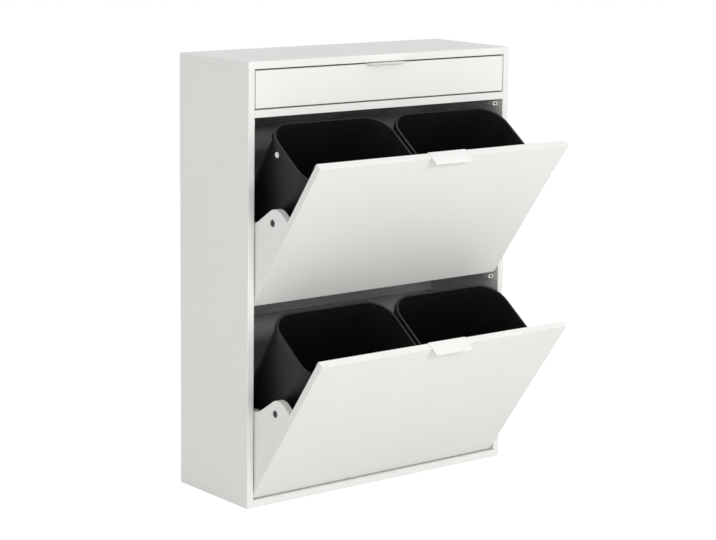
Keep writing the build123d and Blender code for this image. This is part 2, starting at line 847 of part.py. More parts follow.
def bin_plug(frame, rim):
    """White push-in plug in the outer wall of a bin."""
    with BuildPart(frame) as plug:
        across = (plug_depth, rim - plug_drop)
        rod("x", plug_wall - plug_head, plug_wall, across, plug_radius)
        rod("x", plug_wall, plug_wall + 2 * bin_wall, across, plug_shank)
    return plug


# ---- Build and write --------------------------------------------------------
os.makedirs("parts", exist_ok=True)

left_side = side_board()
save(left_side, "left_side")
save(mirrored(left_side), "right_side")
save(flat_board(ceiling, cabinet_height, ceiling), "top_panel")
save(flat_board(0, board, board), "bottom_panel")
shelf = cross_board(
    (front, inner_back),
    (shelf_foot, shelf_top),
    [(depth, shelf_middle) for depth in case_depths],
    ("z", shelf_foot, 1),
    dowels=[(middle_depth, shelf_middle)],
)
save(shelf, "drawer_shelf")
stretcher = cross_board(
    (rail_face, inner_back),
    (stretcher_foot, stretcher_foot + stretcher_height),
    [(rail_middle, stretcher_middle)],
    ("y", rail_face, 1),
)
save(stretcher, "rear_stretcher")
save(wall_rail(), "wall_rail")
save(back_panel(), "back_panel")
save(back_nails(), "back_nails")
save(case_cams(), "case_cams")
save(case_bolts(), "case_bolts")
save(case_dowels(), "case_dowels")
save(pivot_bushes(), "pivot_bushes")
save(stop_studs(), "stop_studs")
save(catches(), "catches")
save(catch_magnets(), "catch_magnets")
save(runner_channel(inner_left, 1, runner_half), "runner_outer")
save(runner_screws(), "runner_screws")

save(drawer_front(), "drawer_front")
drawer_left_side = drawer_side()
save(drawer_left_side, "drawer_left")
save(mirrored(drawer_left_side), "drawer_right")
save(drawer_back(), "drawer_back")
save(drawer_floor(), "drawer_bottom")
save(drawer_cams(), "drawer_cams")
save(drawer_bolts(), "drawer_bolts")
save(drawer_screws(), "drawer_screws")
save(edge_pull(drawer_plane, drawer_top), "drawer_pull")
save(pull_screws(drawer_plane, drawer_top), "drawer_pull_screws")
inner_half = runner_half - runner_sheet - runner_play
save(runner_channel(drawer_left, -1, inner_half), "runner_inner")

for level_name, (plane, door_height, _) in units.items():
    save(door(plane, door_height), f"{level_name}_door")
    left_wing = wing(plane, door_height)
    save(left_wing, f"{level_name}_left_wing")
    save(mirrored(left_wing), f"{level_name}_right_wing")
    save(tray(plane, door_height), f"{level_name}_tray")
    save(tray_back_rail(plane, door_height), f"{level_name}_tray_rail")
    save(wing_cams(plane, door_height), f"{level_name}_wing_cams")
    save(wing_bolts(plane, door_height), f"{level_name}_wing_bolts")
    save(wing_dowels(plane, door_height), f"{level_name}_wing_dowels")
    save(tray_screws(plane, door_height), f"{level_name}_tray_screws")
    save(pivot_pins(plane), f"{level_name}_pivot_pins")
    save(strikes(plane, door_height), f"{level_name}_strikes")
    save(edge_pull(plane, door_height), f"{level_name}_pull")
    save(pull_screws(plane, door_height), f"{level_name}_pull_screws")
    rim_height = door_height - bin_drop
    plugged_side = level_name == "upper"
    save(bin_shell(plane, rim_height, -1, plugged_side), f"{level_name}_left_bin")
    save(bin_shell(plane, rim_height, 1), f"{level_name}_right_bin")
    if plugged_side:
        save(bin_plug(plane, rim_height), "bin_plug")
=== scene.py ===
"""Studio scene of a tilt-out bin cabinet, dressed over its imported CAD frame.

Everything is in metres in the frame's own axes: +Z up, the front facing -Y and
+X to the right as seen from the front.  Sizes of pieces are read from the CAD
nodes; only what the nodes don't hold, such as edge rounds, is given here.
"""

import json
import logging
from dataclasses import dataclass, field
from enum import Enum
from math import cos, pi, radians, sin, tan

import bpy
import numpy as np
from mathutils import Matrix, Vector


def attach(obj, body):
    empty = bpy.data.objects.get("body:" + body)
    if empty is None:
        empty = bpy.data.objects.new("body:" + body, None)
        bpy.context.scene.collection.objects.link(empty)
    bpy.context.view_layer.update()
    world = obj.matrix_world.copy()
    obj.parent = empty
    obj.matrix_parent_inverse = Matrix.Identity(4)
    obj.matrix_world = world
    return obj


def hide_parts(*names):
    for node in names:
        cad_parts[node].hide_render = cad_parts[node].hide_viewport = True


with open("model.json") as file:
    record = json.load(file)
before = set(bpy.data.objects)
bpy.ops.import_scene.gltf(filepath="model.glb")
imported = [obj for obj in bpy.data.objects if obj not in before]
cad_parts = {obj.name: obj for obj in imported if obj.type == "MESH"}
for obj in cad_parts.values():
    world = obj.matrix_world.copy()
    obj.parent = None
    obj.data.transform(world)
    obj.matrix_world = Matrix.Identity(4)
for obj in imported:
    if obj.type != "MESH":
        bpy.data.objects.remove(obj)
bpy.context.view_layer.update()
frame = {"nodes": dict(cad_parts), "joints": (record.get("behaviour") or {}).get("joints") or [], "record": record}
LOG = logging.getLogger("cabinet")

MM = 0.001
IMAGE_WIDTH = 716
SENSOR_WIDTH = 36.0  # millimetres
ACROSS = np.array((1.0, 0.0, 0.0))  # the cabinet's width, shared by everything in it
CREASE = 40.0  # degrees above which an edge stays sharp
STRAIGHT = 1e-4  # radians; a path that turns less at a corner is left as it is


class Level(Enum):
    """The two tilting units, named by where they hang in the case."""

    UPPER = "upper"
    LOWER = "lower"


class Side(Enum):
    """Which side of the cabinet a piece is on, as seen from the front."""

    LEFT = "left"
    RIGHT = "right"


# ---- Materials ---------------------------------------------------------------
def linear(colour: str) -> tuple[float, float, float, float]:
    """Turn an sRGB hex colour into linear RGBA.

    Args:
        colour: Six hex digits after a hash sign.

    Returns:
        Linear red, green and blue, with an alpha of 1.
    """
    channels = [int(colour[i : i + 2], 16) / 255 for i in (1, 3, 5)]
    red, green, blue = (c / 12.92 if c <= 0.04045 else ((c + 0.055) / 1.055) ** 2.4 for c in channels)
    return red, green, blue, 1.0


def add_node(
    tree: bpy.types.NodeTree,
    kind: str,
    values: dict | None = None,
    links: dict | None = None,
    **settings: object,
) -> bpy.types.Node:
    """Add a node with its settings, input values and links.

    Args:
        tree: The node tree to add to.
        kind: The node's type, such as ShaderNodeBump.
        values: Input names or numbers and the values they hold.
        links: Input names or numbers and the output sockets that feed them.
        **settings: Attributes of the node itself.

    Returns:
        The new node.
    """
    node = tree.nodes.new(kind)
    for key, value in settings.items():
        setattr(node, key, value)
    for key, value in (values or {}).items():
        node.inputs[key].default_value = value
    for key, socket in (links or {}).items():
        tree.links.new(socket, node.inputs[key])
    return node


def per_metre(size_mm: float) -> float:
    """Noise scale whose features are about this many millimetres across."""
    return 1.0 / (size_mm * MM)


def blank_tree(block: bpy.types.Material | bpy.types.World) -> bpy.types.NodeTree:
    """Switch a material or a world to nodes and give back its emptied tree."""
    block.use_nodes = True
    block.node_tree.nodes.clear()
    return block.node_tree


@dataclass(frozen=True)
class Finish:
    """A surface with an even colour that varies faintly, and a fine relief.

    Attributes:
        name: The real material and how its surface was made.
        colour: Main colour, sRGB hex.
        shade: Colour of the faint cloudiness, sRGB hex.
        roughness: Mean roughness of the shader.
        grain_mm: Size of the surface relief.
        relief: Strength of the relief, from 0 to 1.
        relief_mm: Height of the relief.
        cloud_mm: Size of the faint clouds of shade.
        metallic: 1 for bare metal.
        ior: Index of refraction of a non-metal.
        stretch: Scale of the relief along x, y and z, for a surface with a grain.
        roughness_spread: How far the roughness strays from its mean.
    """

    name: str
    colour: str
    shade: str
    roughness: float
    grain_mm: float
    relief: float = 0.2
    relief_mm: float = 0.05
    cloud_mm: float = 120.0
    metallic: float = 0.0
    ior: float = 1.5
    stretch: tuple[float, float, float] = (1.0, 1.0, 1.0)
    roughness_spread: float = 0.04

    def material(self) -> bpy.types.Material:
        """Build the material: cloud noise tints it, grain noise lifts it and varies its gloss."""
        material = bpy.data.materials.new(self.name)
        tree = blank_tree(material)
        place = add_node(tree, "ShaderNodeTexCoord")
        mapped = add_node(
            tree,
            "ShaderNodeMapping",
            values={"Scale": self.stretch},
            links={"Vector": place.outputs["Object"]},
        )
        cloud = add_node(
            tree,
            "ShaderNodeTexNoise",
            values={"Scale": per_metre(self.cloud_mm), "Detail": 3.0, "Roughness": 0.5},
            links={"Vector": place.outputs["Object"]},
        )
        grain = add_node(
            tree,
            "ShaderNodeTexNoise",
            values={"Scale": per_metre(self.grain_mm), "Detail": 2.0, "Roughness": 0.6},
            links={"Vector": mapped.outputs["Vector"]},
        )
        tint = add_node(
            tree,
            "ShaderNodeMix",
            data_type="RGBA",
            values={6: linear(self.colour), 7: linear(self.shade)},
            links={0: self.tint_factor(tree, cloud, grain)},
        )
        gloss = add_node(
            tree,
            "ShaderNodeMapRange",
            values={
                "To Min": self.roughness - self.roughness_spread,
                "To Max": self.roughness + self.roughness_spread,
            },
            links={"Value": grain.outputs["Fac"]},
        )
        bump = add_node(
            tree,
            "ShaderNodeBump",
            values={"Strength": self.relief, "Distance": self.relief_mm * MM},
            links={"Height": grain.outputs["Fac"]},
        )
        shader = add_node(
            tree,
            "ShaderNodeBsdfPrincipled",
            values={"Metallic": self.metallic, "IOR": self.ior},
            links={
                "Base Color": tint.outputs[2],
                "Roughness": gloss.outputs["Result"],
                "Normal": bump.outputs["Normal"],
            },
        )
        add_node(tree, "ShaderNodeOutputMaterial", links={"Surface": shader.outputs["BSDF"]})
        return material

    def tint_factor(
        self, tree: bpy.types.NodeTree, cloud: bpy.types.Node, grain: bpy.types.Node
    ) -> bpy.types.NodeSocket:
        """Say how much of the shade shows: here the clouds alone decide.

        Args:
            tree: The material's node tree.
            cloud: Noise of the clouds.
            grain: Noise of the relief.

        Returns:
            The socket that holds the share of the shade.
        """
        return cloud.outputs["Fac"]


@dataclass(frozen=True)
class GrainedFinish(Finish):
    """A surface whose own grain, such as wood fibre or brushing, carries the shade."""

    def tint_factor(
        self, tree: bpy.types.NodeTree, cloud: bpy.types.Node, grain: bpy.types.Node
    ) -> bpy.types.NodeSocket:
        """Say how much of the shade shows: the grain, stronger and weaker with the clouds.

        Args:
            tree: The material's node tree.
            cloud: Noise of the clouds.
            grain: Noise of the relief.

        Returns:
            The socket that holds the share of the shade.
        """
        mixed = add_node(
            tree,
            "ShaderNodeMath",
            operation="MULTIPLY",
            links={0: cloud.outputs["Fac"], 1: grain.outputs["Fac"]},
        )
        return mixed.outputs["Value"]


# White melamine paper pressed onto chipboard against a fine pearl plate: satin,
# with a relief too fine to show, drawn at 1.5 mm.
MELAMINE = Finish("White_melamine_pressed", "#EBEBE8", "#E7E7E4", 0.42, 1.5, 0.12, 0.03)
# Thin coat of white lacquer rolled onto the hardboard back: duller than the boards. Its grey base colour is
# painted shade, standing in for the shade inside the case.
HARDBOARD_PAINTED_SHADE = Finish("Hardboard_grey_painted_shade", "#B4B4B1", "#ABABA8", 0.5, 2.5, 0.15, 0.05)
# Polypropylene moulded against a spark-eroded steel tool: soft black sheen.
BLACK_PLASTIC = Finish(
    "Black_polypropylene_moulded", "#060606", "#0A0A0A", 0.5, 1.0, 0.25, 0.05, ior=1.49
)
# White moulded ABS: slightly warmer and glossier than the boards.
WHITE_PLASTIC = Finish("White_ABS_moulded", "#EFEFEC", "#E9E9E5", 0.32, 1.0, 0.1, 0.02)
# Natural nylon: milky and waxy.
NYLON = Finish("Natural_nylon_turned", "#E6E4DB", "#DEDBD0", 0.38, 0.8, 0.15, 0.03, ior=1.53)
# White powder coat on the pulls and the runner channels: fine orange peel.
POWDER_COAT = Finish("White_powder_coat_on_steel", "#EDEDEB", "#E9E9E6", 0.38, 0.9, 0.3, 0.03)
# Bright zinc plating over drawn steel.
PLATED_STEEL = Finish(
    "Zinc_plated_steel_drawn", "#A9ABAD", "#96989B", 0.35, 0.7, 0.2, 0.02, 20.0, metallic=1.0
)
# Die-cast zinc: dull grey skin with slight flow marks.
CAST_ZINC = Finish("Die_cast_zinc", "#76787B", "#606266", 0.48, 1.2, 0.35, 0.04, 15.0, metallic=1.0)
# Nickel-plated sintered magnet.
MAGNET = Finish("Nickel_plated_magnet", "#5B5B5E", "#4A4A4D", 0.3, 0.8, 0.15, 0.02, 10.0, metallic=1.0)
# Plain beech dowel: pink-brown with short darker flecks along the grain.
BEECH = GrainedFinish(
    "Beech_dowel_turned", "#C49A6C", "#8F6238", 0.55, 0.8, 0.4, 0.08, stretch=(1.0, 0.12, 0.12)
)

SLOT_FINISHES = {
    "white_board": MELAMINE,
    "white_hardboard": HARDBOARD_PAINTED_SHADE,
    "black_plastic": BLACK_PLASTIC,
    "white_plastic": WHITE_PLASTIC,
    "white_nylon": NYLON,
    "white_steel": POWDER_COAT,
    "steel": PLATED_STEEL,
    "zinc": CAST_ZINC,
    "magnet": MAGNET,
    "beech": BEECH,
}


@dataclass
class Wardrobe:
    """Builds each material once and hands it out by the record's slot name.

    Attributes:
        built: The materials made so far, by slot.
    """

    built: dict[str, bpy.types.Material] = field(default_factory=dict)

    def material(self, slot: str) -> bpy.types.Material:
        """The material of a slot, made on first use."""
        if slot not in self.built:
            self.built[slot] = SLOT_FINISHES[slot].material()
        return self.built[slot]

    def dress(self, piece: bpy.types.Object, slot: str) -> None:
        """Give a piece the material of a slot, in place of what it had."""
        piece.data.materials.clear()
        piece.data.materials.append(self.material(slot))


# ---- Surfaces ----------------------------------------------------------------
def grid_faces(rows: int, columns: int) -> np.ndarray:
    """Quads between the loops of a grid: each joins a point with its neighbours.

    Args:
        rows: Loops along the profile.
        columns: Points in each loop.

    Returns:
        An array of four point numbers per quad.
    """
    row, column = np.meshgrid(np.arange(rows - 1), np.arange(columns), indexing="ij")
    after = (column + 1) % columns
    corners = (row * columns + column, row * columns + after)
    corners += ((row + 1) * columns + after, (row + 1) * columns + column)
    return np.stack(corners, axis=-1).reshape(-1, 4)


def vertex_points(mesh: bpy.types.Mesh) -> np.ndarray:
    """Places of a mesh's vertices, one row each."""
    co = np.empty(len(mesh.vertices) * 3)
    mesh.vertices.foreach_get("co", co)
    return co.reshape(-1, 3)


def turn_outwards(mesh: bpy.types.Mesh) -> None:
    """Turn a closed mesh's faces outwards.

    The boxes spanned by the origin and each triangle, a . (b x c), add up to six
    times the volume, which is negative when the faces look inwards.
    """
    mesh.calc_loop_triangles()
    corner = np.empty(len(mesh.loop_triangles) * 3, dtype=np.int32)
    mesh.loop_triangles.foreach_get("vertices", corner)
    points = vertex_points(mesh)
    a, b, c = (points[corner.reshape(-1, 3)[:, i]] for i in range(3))
    if np.einsum("ij,ij->i", a, np.cross(b, c)).sum() < 0:
        mesh.flip_normals()


def surface(name: str, points: np.ndarray) -> bpy.types.Object:
    """Make a closed piece from a grid of points whose rows are loops, with both ends capped.

    Args:
        name: The piece's name.
        points: Array of shape (rows, columns, 3).

    Returns:
        The new object, linked to the scene, at the origin, its faces outwards.
    """
    rows, columns = points.shape[:2]
    faces = grid_faces(rows, columns).tolist()
    faces.append(list(range(columns))[::-1])
    faces.append([(rows - 1) * columns + i for i in range(columns)])
    mesh = bpy.data.meshes.new(name)
    mesh.from_pydata(points.reshape(-1, 3).tolist(), [], faces)
    mesh.polygons.foreach_set("use_smooth", np.ones(len(mesh.polygons), dtype=bool))
    mesh.set_sharp_from_angle(angle=radians(CREASE))
    mesh.update()
    turn_outwards(mesh)
    piece = bpy.data.objects.new(name, mesh)
    bpy.context.scene.collection.objects.link(piece)
    return piece


def rounded_path(corners: list[tuple[float, float, float]], steps: int = 5) -> np.ndarray:
    """Open path through corners, each replaced by a tangent arc of its own radius.

    At a corner with half turning angle h the arc starts radius * tan(h) before
    the corner; its points swing about a centre set off along the bisector.

    Args:
        corners: Two coordinates and a radius for each corner. A radius of 0 keeps
            the corner, and the two ends are always kept.
        steps: Segments in each arc.

    Returns:
        Array of shape (points, 2).
    """
    table = np.asarray(corners, dtype=float)
    points, radii = table[:, :2], table[:, 2]
    path = [points[0:1]]
    for i in range(1, len(points) - 1):
        before = points[i - 1] - points[i]
        after = points[i + 1] - points[i]
        before, after = before / np.linalg.norm(before), after / np.linalg.norm(after)
        half = (pi - np.arccos(np.clip(before @ after, -1, 1))) / 2
        if radii[i] <= 0 or half < STRAIGHT:
            path.append(points[i : i + 1])
            continue
        start = points[i] + before * radii[i] * np.tan(half)
        bisector = (before + after) / np.linalg.norm(before + after)
        centre = points[i] + bisector * radii[i] / np.cos(half)
        spoke = start - centre
        turn = -before
        angle = np.linspace(0, 2 * half, steps + 1)[:, None]
        path.append(centre + spoke * np.cos(angle) + turn * radii[i] * np.sin(angle))
    path.append(points[-1:])
    return np.concatenate(path)


def rounded_loop(
    width: float, length: float, radius: float, arc_steps: int, side_steps: int
) -> tuple[np.ndarray, np.ndarray]:
    """Corner centres and outward directions round a rectangle with round corners.

    A loop at any inset from the rectangle is centre + (radius - inset) * direction,
    with the straight stretches filled in between one corner and the next.

    Args:
        width: Outer size along the first axis.
        length: Outer size along the second axis.
        radius: Corner radius.
        arc_steps: Segments in each corner.
        side_steps: Segments in each straight side.

    Returns:
        Centres and unit directions, each of shape (points, 2).
    """
    reach = np.array([width / 2 - radius, length / 2 - radius])
    signs = np.array([(1, 1), (-1, 1), (-1, -1), (1, -1)], dtype=float)
    centres, directions = [], []
    for quarter in range(4):
        angle = (quarter + np.linspace(0, 1, arc_steps + 1)) * pi / 2
        arc = np.stack((np.cos(angle), np.sin(angle)), axis=-1)
        here, following = signs[quarter] * reach, signs[(quarter + 1) % 4] * reach
        centres.append(np.repeat(here[None], arc_steps + 1, axis=0))
        directions.append(arc)
        share = (np.arange(1, side_steps) / side_steps)[:, None]
        centres.append(here + (following - here) * share)
        directions.append(np.repeat(arc[-1:], side_steps - 1, axis=0))
    return np.concatenate(centres), np.concatenate(directions)


@dataclass(frozen=True)
class TiltedAxes:
    """Axes of an open unit: across, into the unit and up along its door.

    Attributes:
        origin: A point on the unit's pivot line.
        inward: Unit vector from the door's outer face into the unit.
        upward: Unit vector up along the door.
    """

    origin: np.ndarray
    inward: np.ndarray
    upward: np.ndarray

    @classmethod
    def of_unit(cls, level: Level) -> "TiltedAxes":
        """Read a unit's axes from its hinge and from the way its bins lift."""
        joints = {joint["name"]: joint for joint in frame["joints"]}
        upward = np.array(joints[f"{level.value}_left_bin_lift"]["axis"], dtype=float)
        upward /= np.linalg.norm(upward)
        inward = np.cross(upward, ACROSS)
        return cls(np.array(joints[f"{level.value}_tilt"]["pos_m"], dtype=float), inward, upward)

    @classmethod
    def upright(cls) -> "TiltedAxes":
        """Axes of what stands square in the case, such as the drawer."""
        return cls(np.zeros(3), np.array((0.0, 1.0, 0.0)), np.array((0.0, 0.0, 1.0)))

    def place(self, x: np.ndarray, depth: np.ndarray, height: np.ndarray) -> np.ndarray:
        """Turn places along these axes into points of the frame.

        Args:
            x: Distances across the cabinet.
            depth: Distances from the origin along inward.
            height: Distances from the origin along upward.

        Returns:
            The points, with their three coordinates along the last axis.
        """
        x, depth, height = np.broadcast_arrays(x, depth, height)
        steps = x[..., None] * ACROSS + depth[..., None] * self.inward
        return self.origin + steps + height[..., None] * self.upward

    def extent(self, node: str) -> tuple[np.ndarray, np.ndarray]:
        """Measure a CAD node along these axes.

        Args:
            node: The node's name.

        Returns:
            Its lowest and its highest x, depth and height.
        """
        offset = vertex_points(frame["nodes"][node].data) - self.origin
        along = np.stack((offset[:, 0], offset @ self.inward, offset @ self.upward), axis=-1)
        return along.min(0), along.max(0)


# ---- Pieces ------------------------------------------------------------------
@dataclass
class Bin:
    """Open bin of moulded plastic with a turned-down rim, rounded where a mould rounds it.

    Attributes:
        level: Unit that carries the bin.
        side: Which of the unit's two bins it is.
        corner: Radius of the upright corners at the rim.
        taper: Lean of each wall in degrees.
        wall: Wall thickness.
        floor: Floor thickness.
        lip: How far the rim stands out from the wall.
        lip_sheet: Thickness of the turned-down rim.
        lip_drop: Height of the turned-down rim.
        rim_round: Rounding of the rim's upper edges; the lower ones have half of it.
        foot_round: Rounding where the walls meet the floor.
        floor_ring: Width of the ring of faces between the wall and the flat of the floor.
        arc_steps: Segments in each upright corner.
        side_steps: Segments in each straight side.
    """

    level: Level
    side: Side
    corner: float = 55 * MM
    taper: float = 2.5
    wall: float = 2 * MM
    floor: float = 2.5 * MM
    lip: float = 3 * MM
    lip_sheet: float = 1.6 * MM
    lip_drop: float = 11 * MM
    rim_round: float = 0.7 * MM
    foot_round: float = 10 * MM
    floor_ring: float = 12 * MM
    arc_steps: int = 14
    side_steps: int = 10

    @property
    def node(self) -> str:
        """Name of the CAD node this bin stands for."""
        return f"{self.level.value}_{self.side.value}_bin"

    def profile(self, foot: float, rim: float) -> np.ndarray:
        """Section of the wall as (inset from the rim's outline, height).

        It runs from the underside up the outer wall, round the turned-down rim
        and down the inner wall to the floor; a wall's inset grows with the depth
        under the rim times the tangent of the taper.

        Args:
            foot: Height of the underside.
            rim: Height of the rim.

        Returns:
            Array of shape (points, 2).
        """
        lean = tan(radians(self.taper))
        outer = self.lip + (rim - foot) * lean
        inner = self.lip + self.wall + (rim - foot - self.floor) * lean
        under = rim - self.lip_sheet
        corners = [
            (outer + self.floor_ring, foot, 0.0),
            (outer, foot, self.foot_round),
            (self.lip + self.lip_sheet * lean, under, self.rim_round / 2),
            (self.lip_sheet, under, self.rim_round / 2),
            (self.lip_sheet, rim - self.lip_drop, self.rim_round / 2),
            (0.0, rim - self.lip_drop, self.rim_round / 2),
            (0.0, rim, self.rim_round),
            (self.lip + self.wall, rim, self.rim_round),
            (inner, foot + self.floor, self.foot_round - self.wall),
            (inner + self.floor_ring, foot + self.floor, 0.0),
        ]
        return rounded_path(corners)

    def build(self, wardrobe: Wardrobe) -> bpy.types.Object:
        """Carry the wall's section round the rim's outline and dress the result.

        Args:
            wardrobe: Source of the material.

        Returns:
            The finished bin.
        """
        axes = TiltedAxes.of_unit(self.level)
        low, high = axes.extent(self.node)
        centre = (low + high) / 2
        size = high - low
        section = self.profile(low[2], high[2])
        centres, directions = rounded_loop(size[0], size[1], self.corner, self.arc_steps, self.side_steps)
        inset, height = section[:, 0:1], section[:, 1:2]
        reach = self.corner - inset
        x = centre[0] + centres[:, 0] + reach * directions[:, 0]
        depth = centre[1] + centres[:, 1] + reach * directions[:, 1]
        piece = surface(f"{self.node}_shell", axes.place(x, depth, height))
        wardrobe.dress(piece, "black_plastic")
        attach(piece, f"{self.node}_body")
        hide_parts(self.node)
        return piece


@dataclass
class Plug:
    """White push-in plug with a dished head, in the wall of the upper left bin.

    Attributes:
        level: Unit that carries the bin.
        node: CAD node it stands for.
        body: Body it rides on.
        edge_round: Rounding of its edges.
        dish: Depth of the dish in the head.
        dish_rim: Radius where the dish begins, as a share of the head's.
        dish_flat: Radius where its flat begins, as a share of the dish's.
        shank: Radius of the shank.
        head: Thickness of the head.
        pole: Radius of the caps in the middle of both ends.
        steps: Segments round it.
    """

    level: Level = Level.UPPER
    node: str = "bin_plug"
    body: str = "upper_left_bin_body"
    edge_round: float = 0.6 * MM
    dish: float = 0.35 * MM
    dish_rim: float = 0.55
    dish_flat: float = 0.8
    shank: float = 4 * MM
    head: float = 1.5 * MM
    pole: float = 0.3 * MM
    steps: int = 40

    def build(self, wardrobe: Wardrobe) -> bpy.types.Object:
        """Turn the plug's section about its axis: shank, flange, rounded edge, dished face.

        Args:
            wardrobe: Source of the material.

        Returns:
            The finished plug.
        """
        axes = TiltedAxes.of_unit(self.level)
        low, high = axes.extent(self.node)
        radius = (high[2] - low[2]) / 2
        seat = low[0] + self.head
        dish_edge = radius * self.dish_rim
        corners = [
            (self.pole, high[0], 0.0),
            (self.shank, high[0], self.edge_round),
            (self.shank, seat, 0.0),
            (radius, seat, 0.0),
            (radius, low[0], self.edge_round),
            (dish_edge, low[0], self.edge_round),
            (dish_edge * self.dish_flat, low[0] + self.dish, self.edge_round),
            (self.pole, low[0] + self.dish, 0.0),
        ]
        section = rounded_path(corners)
        angle = np.linspace(0, 2 * pi, self.steps, endpoint=False)
        centre = (low + high) / 2
        reach, x = section[:, 0:1], section[:, 1:2]
        points = axes.place(x, centre[1] + reach * np.cos(angle), centre[2] + reach * np.sin(angle))
        piece = surface("bin_plug_head", points)
        wardrobe.dress(piece, "white_plastic")
        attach(piece, self.body)
        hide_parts(self.node)
        return piece


@dataclass
class Pull:
    """Bent sheet-metal pull over a front's top edge: a leg behind it and a flat plate before it.

    Attributes:
        node: CAD node it stands for.
        body: Body it rides on.
        axes: Axes of the front that it sits on.
        sheet: Thickness of the metal.
        bend: Outer radius of the bend.
        edge: Rounding of the cut ends.
        end_steps: Stations over each rounded end.
        bend_steps: Segments in the bend.
        nose_steps: Points round the edge of the plate and of the leg.
    """

    node: str
    body: str
    axes: TiltedAxes
    sheet: float = 1.5 * MM
    bend: float = 2 * MM
    edge: float = 0.45 * MM
    end_steps: int = 5
    bend_steps: int = 8
    nose_steps: int = 5

    def section(self, half: np.ndarray, low: np.ndarray, high: np.ndarray) -> tuple[np.ndarray, np.ndarray]:
        """Closed outline of the bent sheet at each half thickness.

        The sheet's middle line runs up the leg, round the bend and out along
        the plate; the outline lies half a thickness to each side of it, and a
        half circle closes each end.

        Args:
            half: Half thicknesses, one per station along the pull.
            low: Lowest x, depth and height of the pull.
            high: Highest x, depth and height of the pull.

        Returns:
            Depths and heights, each of shape (stations, points).
        """
        middle = self.sheet / 2
        top = high[2] - middle
        leg = high[1] - middle
        corners = [(leg, low[2] + middle, 0), (leg, top, self.bend - middle), (low[1] + middle, top, 0)]
        line = rounded_path(corners, self.bend_steps)
        along = np.gradient(line, axis=0)
        along /= np.linalg.norm(along, axis=1)[:, None]
        normal = np.stack((-along[:, 1], along[:, 0]), axis=-1)
        sweep = np.linspace(0, pi, self.nose_steps + 2)[1:-1, None]
        nose = normal[-1] * np.cos(sweep) + along[-1] * np.sin(sweep)
        tail = -normal[0] * np.cos(sweep) - along[0] * np.sin(sweep)
        tip, root = (np.repeat(end, self.nose_steps, axis=0) for end in (line[-1:], line[:1]))
        spine = np.concatenate((line, tip, line[::-1], root))
        offset = np.concatenate((normal, nose, -normal[::-1], tail))
        outline = spine + half[:, None, None] * offset
        return outline[..., 0], outline[..., 1]

    def build(self, wardrobe: Wardrobe) -> bpy.types.Object:
        """Carry the bent section along the pull, thinning it over rounded ends.

        Args:
            wardrobe: Source of the material.

        Returns:
            The finished pull.
        """
        low, high = self.axes.extent(self.node)
        swing = np.linspace(0, pi / 2, self.end_steps)
        inset = self.edge * (1 - np.sin(swing))
        thin = self.edge * (1 - np.cos(swing))
        x = np.concatenate((low[0] + inset, (high[0] - inset)[::-1]))
        half = self.sheet / 2 - np.concatenate((thin[::-1], thin))
        depth, height = self.section(half, low, high)
        piece = surface(f"{self.node}_bent", self.axes.place(x[:, None], depth, height))
        wardrobe.dress(piece, "white_steel")
        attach(piece, self.body)
        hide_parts(self.node)
        return piece


